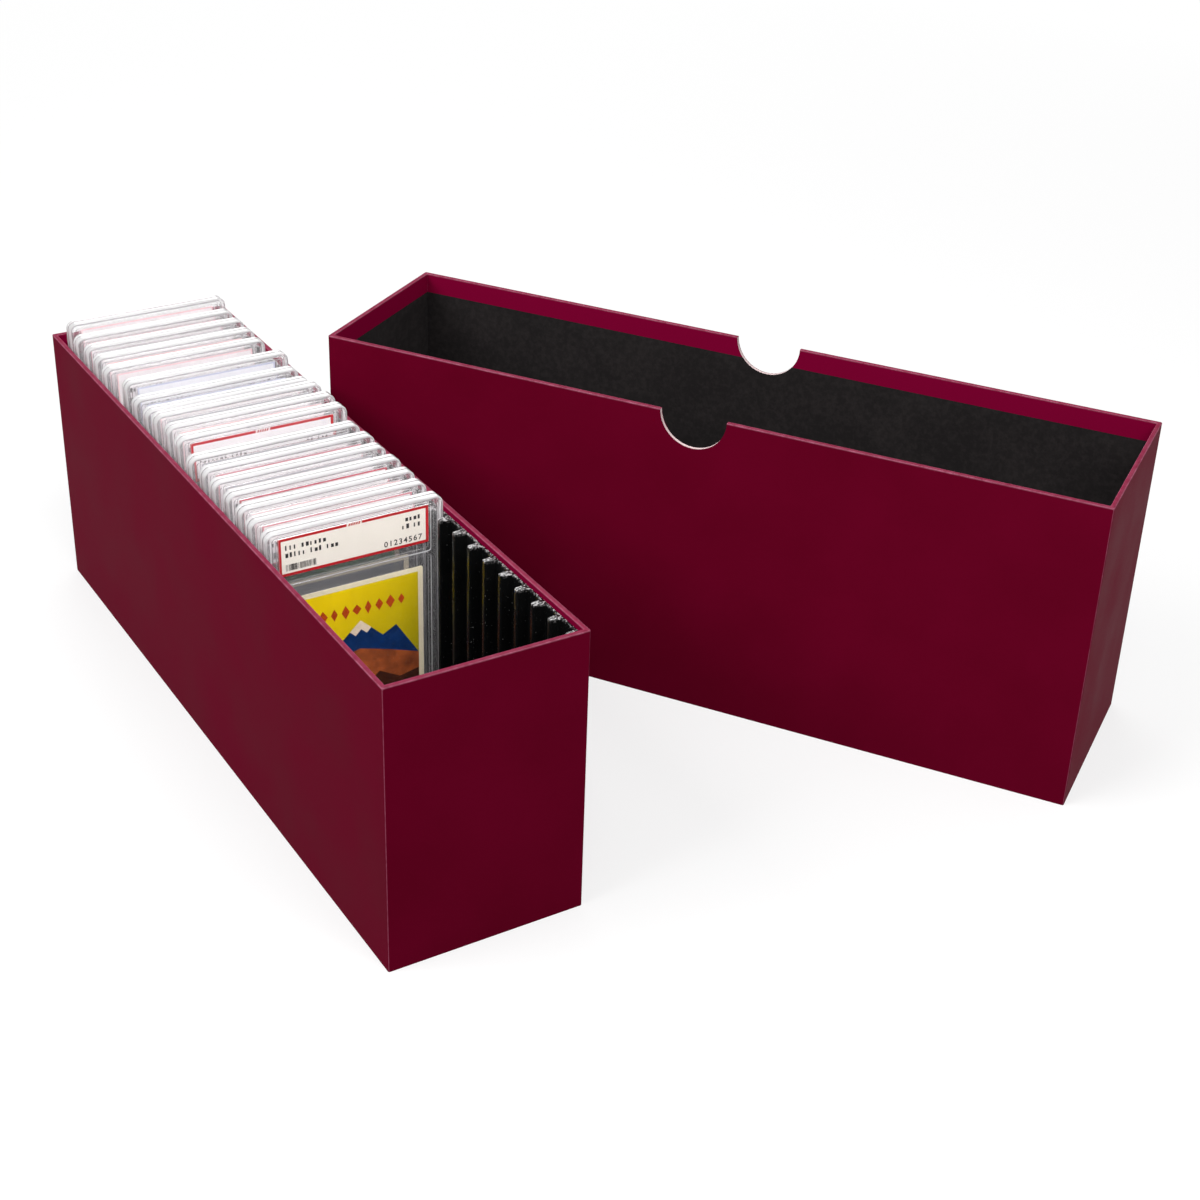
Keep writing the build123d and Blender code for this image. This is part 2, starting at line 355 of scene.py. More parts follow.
def rim_profile(height):
    """The sheet's section from its outer foot over the rim to its inner edge and back inside:
    how far in, how high, and how much wear and painted sheen it carries."""
    bend = [math.pi / 2 * step / rim_steps for step in range(rim_steps + 1)]
    section = [(foot_round, 0, 0), (0, foot_round, 0)]
    section += [(0, rim_wear_and_sheen_reach, 0), (0, height - rim_wear_and_sheen_reach, 0)]
    for angle in bend:
        inset = rim_round * (1 - math.cos(angle))
        rise = height - rim_round * (1 - math.sin(angle))
        section.append((inset, rise, rim_flat_wear_and_sheen if angle == bend[-1] else 1))
    for angle in bend:
        inset = wall - rim_round_inside * (1 - math.sin(angle))
        rise = height - rim_round_inside * (1 - math.cos(angle))
        section.append((inset, rise, 1 if angle else rim_flat_wear_and_sheen))
    return section + [
        (wall, height - rim_wear_and_sheen_reach, 0),
        (wall, height - turn_in + foot_round, turn_in_wear),
        (wall - foot_round, height - turn_in, turn_in_wear),
        (wall - paper, height - turn_in, 0),
        (wall - paper, height - paper, 0),
        (paper, height - paper, 0),
        (paper, 0, 0),
    ]


def wear_and_sheen_at(section, inset, rise):
    """How much wear and painted sheen the sheet carries at a place on its section."""
    nearest = []
    for start, end in zip(section, section[1:] + section[:1]):
        span = Vector(end[:2]) - Vector(start[:2])
        way = Vector((inset, rise)) - Vector(start[:2])
        share = min(max(way.dot(span) / span.length_squared, 0), 1)
        nearest.append(((way - share * span).length, start[2] + share * (end[2] - start[2])))
    return min(nearest)[1]


def turned_in_at(inset):
    """1 on the side of the sheet that faces the inside of the tray, 0 on the outside."""
    return 1.0 if inset > wall / 2 else 0.0


def skin(bm, *loops):
    """Bands of faces from each loop to the next. All have the same number of points."""
    for first, second in zip(loops, loops[1:]):
        for here in range(len(first)):
            after = (here + 1) % len(first)
            bm.faces.new((first[here], first[after], second[after], second[here]))


def mesh_from(bm, name):
    """Turns an edited mesh into a plain one."""
    mesh = bpy.data.meshes.new(name)
    bm.to_mesh(mesh)
    bm.free()
    return mesh


def as_mesh(thing):
    """What a thing with live modifiers, or a text, comes out as: a plain mesh in its stead."""
    bpy.context.view_layer.update()
    made = bpy.data.meshes.new_from_object(thing.evaluated_get(bpy.context.evaluated_depsgraph_get()))
    bpy.data.objects.remove(thing)
    return made


def covering_paper(name, width, length, height):
    """The folded sheet as a closed mesh round the origin, with its wear and painted sheen and its inner
    side, which is painted lighter, noted.
    """
    bm = bmesh.new()
    wear_and_highlight = bm.verts.layers.float.new("edge_wear_and_sheen")
    turned = bm.verts.layers.float.new("turned_in")
    rings = []
    for inset, rise, wear_and_sheen in rim_profile(height):
        radius = max(corner_round - inset, foot_round)
        outline = rounded_loop(width - 2 * inset, length - 2 * inset, radius, corner_wear_and_sheen_reach)
        ring = []
        for x, y, corner_wear_and_sheen in outline:
            point = bm.verts.new((x, y, rise))
            point[wear_and_highlight] = max(wear_and_sheen, corner_wear_and_sheen)
            point[turned] = turned_in_at(inset)
            ring.append(point)
        rings.append(ring)
    skin(bm, *rings, rings[0])
    bmesh.ops.recalc_face_normals(bm, faces=bm.faces)
    return mesh_from(bm, name)


def make_piece(name, mesh, finish, body, record_slot, *nodes):
    """A finished mesh as a piece that rides on its body and stands for its CAD nodes."""
    piece = set_out(name, mesh)
    mesh.materials.append(finish)
    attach(piece, body)
    if nodes:
        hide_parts(*nodes)


def noted(tree, name):
    """A share that a mesh notes at its points, such as their wear."""
    return add_node(tree, "ShaderNodeAttribute", attribute_name=name).outputs["Fac"]


paper_finish, paper_tree, paper_shader = new_finish("burgundy_covering_paper", specular=0.004)
paper_place = piece_coordinates(paper_tree)
paper_cloud = speckle(paper_place, 22, 3)
paper_patchiness = speckle(paper_place, 260, 4, 0.6)
paper_outside = blend_colours(between(paper_cloud, 0.3, 0.7), burgundy_deep, burgundy)
# The inside of the tray is painted lighter than the outside, as painted light.
paper_colour = blend_colours(noted(paper_tree, "turned_in"), paper_outside, burgundy_painted_lighter_inside)
# The rim and corners are painted lighter, by wear and by a painted sheen, broken up by noise.
paper_wear_and_sheen = reckon(
    "MULTIPLY",
    between(noted(paper_tree, "edge_wear_and_sheen"), 0.55, 1.0),
    between(paper_patchiness, 0.3, 0.65, 0.4, 1.0),
)
tint(paper_shader, paper_wear_and_sheen, paper_colour, burgundy_worn_and_sheen)
wire(paper_shader, {"Roughness": between(paper_cloud, 0.3, 0.7, 0.42, 0.52)})
raise_grain(paper_shader, speckle(paper_place, 2600, 3), paper_grain)

base_low, base_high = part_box("base_wrap")
base_paper = covering_paper("base_covering_paper", *(base_high - base_low))
make_piece("base_covering_paper", base_paper, paper_finish, "base", "burgundy_paper", "base_wrap")

lid_height = (lid_high - lid_low).z
lid_sheet = set_out("lid_sheet", covering_paper("lid_sheet", lid_width, lid_length, lid_height))
notch_bm = bmesh.new()
bmesh.ops.create_cone(
    notch_bm,
    cap_ends=True,
    segments=notch_segments,
    radius1=notch_radius,
    radius2=notch_radius,
    depth=notch_reach,
    matrix=Matrix.Translation((0, 0, lid_height)) @ Matrix.Rotation(math.pi / 2, 4, "Y"),
)
notch_cutter = set_out("notch_cutter", mesh_from(notch_bm, "notch_cutter"))
notch_cut = lid_sheet.modifiers.new("thumb_notches", "BOOLEAN")
notch_cut.operation = "DIFFERENCE"
notch_cut.object = notch_cutter
notch_cut.solver = "EXACT"
lid_paper = as_mesh(lid_sheet)
bpy.data.objects.remove(notch_cutter)
lid_paper.name = "lid_covering_paper"
lid_section = rim_profile(lid_height)
# The cut edges at the notches take the rim's wear and painted sheen again.
for point in lid_paper.vertices:
    if abs(math.hypot(point.co.y, point.co.z - lid_height) - notch_radius) < foot_round:
        inset = lid_width / 2 - abs(point.co.x)
        lid_paper.attributes["edge_wear_and_sheen"].data[point.index].value = wear_and_sheen_at(lid_section, inset, point.co.z)
        lid_paper.attributes["turned_in"].data[point.index].value = turned_in_at(inset)
lid_paper.transform(
    Matrix.Translation((lid_middle.x, lid_middle.y, lid_low.z)) @ Matrix.Rotation(lid_turn, 4, "Z")
)
make_piece("lid_covering_paper", lid_paper, paper_finish, "lid", "burgundy_paper", "lid_wrap")
dress(paper_finish, "base_bottom_sheet", "lid_top_sheet")

# Lining. Thin black uncoated paper glued on the floor and up the inside of each tray, under the
# covering paper's turned-in edge. Handling leaves it a little dusty and uneven.
lining_deep = (0.0085, 0.007, 0.0072, 1)
lining_dusty = (0.0175, 0.0145, 0.0146, 1)
lining_grain = 0.02 * mm

lining_finish, lining_tree, lining_shader = new_finish("black_lining_paper", roughness=0.82, specular=0.15)
lining_place = piece_coordinates(lining_tree)
lining_cloud = speckle(lining_place, 35, 4)
lining_fleck = speckle(lining_place, 420, 3, 0.6)
lining_patches = between(lining_cloud, 0.3, 0.75, 0, 0.7)
lining_dust = reckon("ADD", lining_patches, between(lining_fleck, 0.4, 0.68, -0.25, 0.55))
tint(lining_shader, lining_dust, lining_deep, lining_dusty)
raise_grain(lining_shader, speckle(lining_place, 2200, 3), lining_grain)
dress(lining_finish, "base_lining", "lid_lining")

# Pad. Soft black card, cut to lie loose on the base's floor under the racks. The holders stand on
# it, so that they land softly. Its fibres take up nearly all the light.
pad_deep = (0.007, 0.007, 0.007, 1)
pad_pale = (0.018, 0.017, 0.017, 1)
pad_grain = 0.06 * mm
pad_finish = fibre_finish(
    "black_pad_card", pad_deep, pad_pale, (1, 1, 1), 900, 5, 0.6, pad_grain, roughness=0.9, specular=0.15
)
dress(pad_finish, "base_floor_pad")

# Slot racks. One glossy black moulding down each long wall of the base, a thin web with ribs that
# narrow to a round nose and part the slots. They are dropped in on the pad and held by the fit. The
# rib tops carry scuffs and painted glints, and dust specks lie all over.
slot_pitch = 13.5 * mm
web_thickness = 0.8 * mm
rib_root = 4.2 * mm
rib_nose = 2.6 * mm
rib_depth = 5.2 * mm
rib_nose_radius = 0.9 * mm
rib_nose_steps = 5
rib_foot_radius = 0.5 * mm
rib_foot_steps = 4
rib_top_round = 0.4 * mm
rib_top_steps = 4
# The rib tops carry scuffs and a painted glint, from this far below the top and most on the rounding.
rib_top_wear_and_glint = 1.4 * mm
rib_brow_wear_and_glint = 0.6
rib_seam_reach = 0.01 * mm
rib_count = 28
rack_black = (0.0035, 0.0037, 0.0038, 1)
# This pale grey paints both dust specks and the glints on the rib tops.
rack_dust_and_glint = (0.36, 0.35, 0.35, 1)
rack_grain = 0.05 * mm


def arc(centre, radius, start, sweep, steps):
    """The points of a round, each with the way out from its centre."""
    for step in range(steps + 1):
        angle = start + sweep * step / steps
        ray = Vector((math.cos(angle), math.sin(angle)))
        yield centre + radius * ray, ray


def rib_outline():
    """Half a rib's face and half the web to the next one, from the web to the nose's middle: each
    point's depth from the wall, its way along the wall from the rib's middle, and its normal."""
    side = Vector((rib_depth, -(rib_root - rib_nose) / 2)).normalized()
    out = Vector((-side.y, side.x))
    foot = Vector((web_thickness, rib_root / 2))
    nose = Vector((web_thickness + rib_depth, rib_nose / 2))
    bend = math.pi / 2 - math.atan2(out.x, out.y)
    foot_centre = Vector((web_thickness + rib_foot_radius, foot.y + rib_foot_radius * math.tan(bend / 2)))
    nose_centre = Vector((nose.x - rib_nose_radius, nose.y - rib_nose_radius * math.tan(bend / 2)))
    line = [(web_thickness, slot_pitch / 2, 1, 0)]
    for point, ray in arc(foot_centre, rib_foot_radius, math.pi, bend, rib_foot_steps):
        line.append((*point, *(-ray)))
    for point, ray in arc(nose_centre, rib_nose_radius, bend, -bend, rib_nose_steps):
        line.append((*point, *ray))
    return line


def rib_cell(rack_height):
    """One rib with half the web on each side, standing on the origin with its back on the wall."""
    front = rib_outline()
    front += [(x, -y, nx, -ny) for x, y, nx, ny in reversed(front)]
    # Each level notes how much scuff and painted glint its points carry.
    levels = [
        (0.0, 0.0, 0.0),
        (rack_height - rib_top_wear_and_glint, 0.0, 0.0),
        (rack_height - rib_top_round, 0.0, rib_brow_wear_and_glint),
    ]
    for step in range(1, rib_top_steps + 1):
        angle = math.pi / 2 * step / rib_top_steps
        rise = rack_height - rib_top_round * (1 - math.sin(angle))
        levels.append((rise, rib_top_round * (1 - math.cos(angle)), 1.0))
    bm = bmesh.new()
    top_wear_and_glint = bm.verts.layers.float.new("top_wear_and_glint")
    rings = []
    for rise, inset, wear_and_highlight in levels:
        ring = [bm.verts.new((x - nx * inset, y - ny * inset, rise)) for x, y, nx, ny in front]
        ring += [bm.verts.new((0, end * slot_pitch / 2, rise)) for end in (-1, 1)]
        for point in ring:
            point[top_wear_and_glint] = wear_and_highlight
        rings.append(ring)
    open_sides = (len(front) - 1, len(front) + 1)
    for lower, upper in zip(rings, rings[1:]):
        for here in range(len(lower)):
            after = (here + 1) % len(lower)
            if here not in open_sides:
                bm.faces.new((lower[here], lower[after], upper[after], upper[here]))
    bm.faces.new(rings[0])
    bm.faces.new(rings[-1])
    bmesh.ops.triangulate(bm, faces=[face for face in bm.faces if len(face.verts) > 4])
    return mesh_from(bm, "rib_cell")


def copying_tree(name, **inputs):
    """A Geometry Nodes tree with a mesh in, a mesh out and named inputs: the tree, what it is
    given and what it gives back."""
    tree = bpy.data.node_groups.new(name, "GeometryNodeTree")
    sockets = {"Geometry": "Geometry", **{key.replace("_", " "): kind for key, kind in inputs.items()}}
    for socket, kind in sockets.items():
        tree.interface.new_socket(socket, in_out="INPUT", socket_type=f"NodeSocket{kind}")
    tree.interface.new_socket("Geometry", in_out="OUTPUT", socket_type="NodeSocketGeometry")
    return tree, add_node(tree, "NodeGroupInput").outputs, add_node(tree, "NodeGroupOutput")


def vector_of(tree, **parts):
    """A vector of the parts that are given, with 0 for the others."""
    return add_node(tree, "ShaderNodeCombineXYZ", parts).outputs[0]


def copies_in_a_row(tree, cell, row, **placing):
    """A mesh copied to the points of a row, as real faces."""
    points = add_node(tree, "GeometryNodeMeshLine", row, mode="OFFSET").outputs["Mesh"]
    placing |= {"Points": points, "Instance": cell}
    copies = add_node(tree, "GeometryNodeInstanceOnPoints", placing).outputs["Instances"]
    return add_node(tree, "GeometryNodeRealizeInstances", {"Geometry": copies}).outputs["Geometry"]


def give_back(tree, result, geometry, material):
    """Ends a tree with its geometry, in its material."""
    finished = add_node(tree, "GeometryNodeSetMaterial", {"Geometry": geometry, "Material": material})
    wire(result, {"Geometry": finished.outputs["Geometry"]})


def run_tree(name, mesh, tree, values):
    """The mesh that a tree makes of another, with its named inputs set by their identifiers. Its
    material comes off again, because make_piece puts it on."""
    thing = set_out(name, mesh)
    modifier = thing.modifiers.new(name, "NODES")
    modifier.node_group = tree
    for item in tree.interface.items_tree:
        if item.item_type == "SOCKET" and item.in_out == "INPUT" and item.name in values:
            modifier[item.identifier] = values[item.name]
    made = as_mesh(thing)
    made.materials.clear()
    return made


rack_finish, rack_tree, rack_shader = new_finish("gloss_black_rack_plastic", specular=0.35)
rack_place = piece_coordinates(rack_tree)
rack_dust = speckle(rack_place, 1500, 2)
rack_haze = speckle(piece_coordinates(rack_tree, (1, 1, 3)), 60, 3)
# Chips on the rib tops are partly scuffs and partly painted glints; the specks elsewhere are dust.
rack_chips_and_glints = between(speckle(rack_place, 1000, 3, 0.65), 0.51, 0.57)
rack_scuff_and_glint = reckon("MULTIPLY", noted(rack_tree, "top_wear_and_glint"), rack_chips_and_glints)
rack_dust_and_glint_marks = reckon("MAXIMUM", rack_scuff_and_glint, between(rack_dust, 0.72, 0.8))
tint(rack_shader, rack_dust_and_glint_marks, rack_black, rack_dust_and_glint)
wire(rack_shader, {"Roughness": between(rack_haze, 0.3, 0.7, 0.2, 0.32)})
raise_grain(rack_shader, rack_haze, rack_grain, 0.4)

rib_tree, rib_given, rib_result = copying_tree("slot_rack_ribs", Rib_Count="Int", Slot_Pitch="Float")
rib_spans = reckon("SUBTRACT", rib_given["Rib Count"], 1.0)
rib_reach = reckon("MULTIPLY", rib_spans, rib_given["Slot Pitch"])
rib_places = {
    "Count": rib_given["Rib Count"],
    "Start Location": vector_of(rib_tree, Y=reckon("MULTIPLY", rib_reach, -0.5)),
    "Offset": vector_of(rib_tree, Y=rib_given["Slot Pitch"]),
}
rib_row = copies_in_a_row(rib_tree, rib_given["Geometry"], rib_places)
rib_seams = {"Geometry": rib_row, "Distance": rib_seam_reach}
rib_joined = add_node(rib_tree, "GeometryNodeMergeByDistance", rib_seams).outputs["Geometry"]
give_back(rib_tree, rib_result, rib_joined, rack_finish)

for side, turn in (("left", 0), ("right", math.pi)):
    node = f"{side}_slot_rack"
    low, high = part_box(node)
    sizes = {"Rib Count": rib_count, "Slot Pitch": slot_pitch}
    rack = run_tree("rib_cell", rib_cell(high.z - low.z), rib_tree, sizes)
    half_length = (high.y - low.y) / 2
    bm = bmesh.new()
    bm.from_mesh(rack)
    for end in (-half_length, half_length):
        bmesh.ops.bisect_plane(
            bm,
            geom=bm.verts[:] + bm.edges[:] + bm.faces[:],
            plane_co=(0, end, 0),
            plane_no=(0, end / half_length, 0),
            clear_outer=True,
        )
        rims = [edge for edge in bm.edges if edge.is_boundary]
        cut = [edge for edge in rims if abs(edge.verts[0].co.y - end) < rib_seam_reach]
        bmesh.ops.edgenet_fill(bm, edges=cut)
    bmesh.ops.recalc_face_normals(bm, faces=bm.faces)
    bm.transform(
        Matrix.Translation((low.x if side == "left" else high.x, (low.y + high.y) / 2, low.z))
        @ Matrix.Rotation(turn, 4, "Z")
    )
    moulding = f"{side}_rack_moulding"
    make_piece(moulding, mesh_from(bm, moulding), rack_finish, "base", "black_rack_plastic", node)

# Card holders. Each is two clear moulded halves welded round a printed label and a card: a rail
# runs round both faces, the panel inside it is sunk, and two windows are sunk further. Five of them
# are a taller kind. They stand loose between the ribs. Their edges, rails and panels are painted
# milky white, most on the edges: a painted highlight and reflection for the light that the clear
# plastic carries. Thin painted shade lines run along the rail's steps, the weld and its channel.
holder_count = 18
holder_width = 82 * mm
holder_thickness = 6.35 * mm
holder_corner = 4 * mm
holder_corner_steps = 7
rail_width = 3 * mm
rail_recess = 0.6 * mm
panel_corner = 0.6 * mm
window_margin = 2.7 * mm
window_recess = 0.35 * mm
window_corner = 1.5 * mm
window_bevel = 0.1 * mm
weld_width = 3.4 * mm
weld_line_width = 0.5 * mm
seam_gap = 0.05 * mm
channel_inset = 1.55 * mm
channel_width = 0.4 * mm
channel_gap = 0.3 * mm
label_size = Vector((69.5, 18.0)) * mm
label_thickness = 0.35 * mm
label_drop = 4.3 * mm
label_window_head = 0.95 * mm
label_window_foot = 3.75 * mm
card_size = Vector((63.5, 88.9)) * mm
card_thickness = 0.45 * mm
card_drop = 33.2 * mm
card_window_head = 5.6 * mm
card_window_foot = 3.5 * mm
pocket_gap = 0.12 * mm
pocket_corner = 0.5 * mm
# The milky shares paint a highlight and reflection on the plastic: strong on the edges, faint on the
# panels.
edge_milky_highlight = 0.42
rail_milky_highlight = 0.11
panel_milky_highlight = 0.04
window_milky_highlight = 0.0
seam_milky_highlight = 0.03
# Painted shade along the weld's channel.
channel_painted_shade = 0.6
shell_clear = (0.95, 0.943, 0.95, 1)
# The dark colour paints shade lines along the rails, the weld and its channel.
shell_painted_shade = (0.2, 0.18, 0.19, 1)
shell_shadow = (0.975, 0.97, 0.975, 1)
shell_index = 1.49


def upright_loop(bm, width, height, inset, radius, depth, middle, *notes):
    """A rounded rectangle that stands across the case, so far inside a width and a height, at a
    depth and about a middle height. Each note is a layer and what it holds at the loop's points."""
    width -= 2 * inset
    height -= 2 * inset
    loop = []
    for quarter, (sx, sz) in enumerate(((1, 1), (-1, 1), (-1, -1), (1, -1))):
        for step in range(holder_corner_steps + 1):
            angle = quarter * math.pi / 2 + math.pi / 2 * step / holder_corner_steps
            x = sx * (width / 2 - radius) + radius * math.cos(angle)
            z = middle + sz * (height / 2 - radius) + radius * math.sin(angle)
            point = bm.verts.new((x, depth, z))
            for layer, amount in notes:
                point[layer] = amount
            loop.append(point)
    return loop


def fill_round(bm, loops):
    """Fills the flat face inside the first loop, and leaves it open where the others lie."""
    edges = [bm.edges.get((loop[here - 1], loop[here])) for loop in loops for here in range(len(loop))]
    bmesh.ops.triangle_fill(bm, use_beauty=True, use_dissolve=False, edges=edges)


def rail_section():
    """The rail's section from the sunk panel over the rail and the outer edge to the groove along
    the seam: how far in, how deep, how much painted milky highlight, and how much painted shade line."""
    half = holder_thickness / 2
    panel = half - rail_recess
    return [
        (rail_width + 0.35 * mm, panel, panel_milky_highlight, 0),
        (rail_width + 0.12 * mm, panel, panel_milky_highlight, 0.4),
        (rail_width - 0.02 * mm, panel + 0.12 * mm, rail_milky_highlight, 0.7),
        (rail_width - 0.1 * mm, half - 0.15 * mm, rail_milky_highlight, 0.3),
        (rail_width - 0.3 * mm, half, rail_milky_highlight, 0),
        (1.05 * mm, half, rail_milky_highlight, 0),
        (0.8 * mm, half, edge_milky_highlight, 0.5),
        (0.45 * mm, half - 0.1 * mm, edge_milky_highlight, 0),
        (0.14 * mm, half - 0.36 * mm, edge_milky_highlight, 0),
        (0, half - 0.75 * mm, edge_milky_highlight, 0),
        (0, 0.5 * mm, edge_milky_highlight, 0),
        (0, 0.32 * mm, edge_milky_highlight, 0.3),
        (0.1 * mm, 0.1 * mm, rail_milky_highlight, 0.8),
        (0.26 * mm, 0, rail_milky_highlight, 1),
    ]


def holder_shell(name, height):
    """One holder's clear plastic, standing on the origin: its outside, and inside it the weld's
    channel and the seam between the halves, which widens where the label and the card lie."""
    middle = height / 2
    panel = holder_thickness / 2 - rail_recess
    window_width = holder_width - 2 * (rail_width + window_margin)
    prints = (
        (label_size, label_thickness, height - label_drop, label_window_head, label_window_foot),
        (card_size, card_thickness, height - card_drop, card_window_head, card_window_foot),
    )
    bm = bmesh.new()
    milky_highlight = bm.verts.layers.float.new("milky_highlight")
    line = bm.verts.layers.float.new("painted_shade_line")

    def ring(inset, radius, depth, highlight_share, dark):
        """A loop round the holder, so far in from its edge."""
        notes = ((milky_highlight, highlight_share), (line, dark))
        return upright_loop(bm, holder_width, height, inset, radius, depth, middle, *notes)

    rail = rail_section()
    section = rail + [(inset, -depth, highlight_share, dark) for inset, depth, highlight_share, dark in reversed(rail[:-1])]
    loops = [
        ring(inset, max(holder_corner - inset, panel_corner), depth, highlight_share, dark)
        for inset, depth, highlight_share, dark in section
    ]
    skin(bm, *loops)
    for face_loop, side in ((loops[0], 1), (loops[-1], -1)):
        panel_loops = [face_loop]
        for size, _, top, head, foot in prints:
            window = (window_width, size.y + head + foot)
            centre = top - size.y / 2 + (head - foot) / 2
            frame_loops = [
                upright_loop(bm, *window, inset, window_corner - inset, side * depth, centre, (milky_highlight, highlight_share))
                for inset, depth, highlight_share in (
                    (0, panel, panel_milky_highlight),
                    (window_bevel, panel - window_bevel, edge_milky_highlight),
                    (1.5 * window_bevel, panel - window_recess, edge_milky_highlight),
                    (6 * window_bevel, panel - window_recess, window_milky_highlight),
                )
            ]
            skin(bm, *frame_loops)
            bm.faces.new(frame_loops[-1])
            panel_loops.append(frame_loops[0])
        fill_round(bm, panel_loops)
    bmesh.ops.recalc_face_normals(bm, faces=bm.faces)
    outside = set(bm.faces)

    welds = []
    for side in (-1, 1):
        weld = ring(weld_width, window_corner, side * seam_gap / 2, seam_milky_highlight, 1)
        seam = ring(weld_width + weld_line_width, window_corner, side * seam_gap / 2, seam_milky_highlight, 0)
        skin(bm, weld, seam)
        welds.append(weld)
        seam_loops = [seam]
        for size, thickness, top, *_ in prints:
            centre = top - size.y / 2
            mouth, bed = [
                upright_loop(bm, *size, -pocket_gap, pocket_corner, side * depth, centre, (milky_highlight, highlight_share))
                for depth, highlight_share in (
                    (seam_gap / 2, seam_milky_highlight),
                    (thickness / 2 + pocket_gap, window_milky_highlight),
                )
            ]
            skin(bm, mouth, bed)
            bm.faces.new(bed)
            seam_loops.append(mouth)
        fill_round(bm, seam_loops)
    skin(bm, *welds)
    channel = [
        ring(inset, holder_corner - inset, depth, rail_milky_highlight, channel_painted_shade)
        for inset, depth in (
            (channel_inset, -channel_gap / 2),
            (channel_inset + channel_width, -channel_gap / 2),
            (channel_inset + channel_width, channel_gap / 2),
            (channel_inset, channel_gap / 2),
        )
    ]
    skin(bm, *channel, channel[0])
    hollows = [face for face in bm.faces if face not in outside]
    bmesh.ops.recalc_face_normals(bm, faces=hollows)
    bmesh.ops.reverse_faces(bm, faces=hollows)
    return mesh_from(bm, name)


shell_finish, shell_tree, shell_shader = new_finish("clear_holder_plastic")
# The dark lines on the plastic are painted shade.
tint(shell_shader, noted(shell_tree, "painted_shade_line"), shell_clear, shell_painted_shade)
shell_scratches = speckle(piece_coordinates(shell_tree), 420, 4, 0.6)
# Where the milky share is high, the plastic shows its pale colour instead of letting light through: a
# painted highlight.
wire(
    shell_shader,
    {
        "IOR": shell_index,
        "Roughness": between(shell_scratches, 0.3, 0.75, 0.015, 0.07),
        "Transmission Weight": between(noted(shell_tree, "milky_highlight"), 0, 1, 1, 0),
    },
)
shell_ray = add_node(shell_tree, "ShaderNodeLightPath")
shell_open = add_node(shell_tree, "ShaderNodeBsdfTransparent", {"Color": shell_shadow})
show_mixed(shell_ray.outputs["Is Shadow Ray"], shell_shader, shell_open)

holder_stands = []
for number in range(1, holder_count + 1):
    body = f"holder_{number:02d}"
    halves = (f"{body}_front_half", f"{body}_rear_half") if number == 1 else (f"{body}_halves",)
    lows, highs = zip(*map(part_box, halves))
    low = Vector([*map(min, zip(*lows))])
    high = Vector([*map(max, zip(*highs))])
    stand = Vector(((low.x + high.x) / 2, (low.y + high.y) / 2, low.z))
    height = round(high.z - low.z, 5)
    holder_stands.append((number, body, stand, height))
    shell = holder_shell(f"{body}_shell", height)
    shell.transform(Matrix.Translation(stand))
    make_piece(f"{body}_shell", shell, shell_finish, body, "clear_holder_plastic", *halves)

# Labels. A cream or white paper slip in each holder, with a printed border line that on two of them
# is broken by slanted strokes at its head, rows of small dark marks, bars and counting digits.
label_corner = 0.3 * mm
label_margin = 31.6 * mm
label_grain = 0.01 * mm
side_blur = 0.001
level_blur = 0.004
broad_border = 1.35 * mm
fine_border = 0.8 * mm
label_gap = 3.6 * mm
emblem_count = 5
emblem_step = 1.15 * mm
emblem_stroke = 0.62 * emblem_step
emblem_foot = 16.6 * mm
emblem_height = 1.3 * mm
emblem_lean = 0.45 * mm
ink_depth = 0.02 * mm
ink_sink = 0.004 * mm
mark_step = 1.95 * mm
mark_widths = (0.65 * mm, 0.95 * mm, 1.3 * mm)
mark_heights = (1.7 * mm, 2.0 * mm, 2.3 * mm)
word_gap = 0.8
broad_label_rows = (
    (-1, 12.2 * mm, (3, 6)),
    (-1, 8.7 * mm, (5, 3, 3)),
    (1, 12.4 * mm, (4,)),
    (1, 8.9 * mm, (2, 2)),
)
fine_label_rows = ((-1, 8.2 * mm, (7, 4)), (1, 8.2 * mm, (3, 2)))
bar_count = 30
bar_step = 0.46 * mm
bar_foot = 2.4 * mm
bar_height = 3.0 * mm
bar_narrowest = 0.22
bar_widest = 0.95
digit_foot = 2.3 * mm
digit_height = 3.7 * mm
digit_swell = 0.06 * mm
digit_spacing = 1.25
digit_steps = 3
cream = (0.9, 0.85, 0.76, 1)
white_stock = (0.88, 0.845, 0.85, 1)
pink_stock = (0.86, 0.81, 0.815, 1)
blue_stock = (0.82, 0.82, 0.85, 1)


def printed_sheet(name, size, thickness, corner):
    """A label or a card, standing across the case with its foot on the origin. Its UV map is in
    shares of its width and height, and what is seen from behind lies at u between 1 and 2."""
    bm = bmesh.new()
    uv = bm.loops.layers.uv.new("print")
    edge_bevel = thickness * 0.15
    loops = [
        upright_loop(bm, *size, inset, corner, depth, size.y / 2)
        for inset, depth in (
            (edge_bevel, -thickness / 2),
            (0, -thickness / 2 + edge_bevel),
            (0, thickness / 2 - edge_bevel),
            (edge_bevel, thickness / 2),
        )
    ]
    skin(bm, *loops)
    bm.faces.new(loops[0])
    bm.faces.new(loops[-1])
    bmesh.ops.recalc_face_normals(bm, faces=bm.faces)
    for face in bm.faces:
        behind = face.normal.y > 0.5
        for corner_loop in face.loops:
            place = corner_loop.vert.co
            u = place.x / size.x + 0.5
            corner_loop[uv].uv = ((2 - u) if behind else u, place.z / size.y)
    return mesh_from(bm, name)


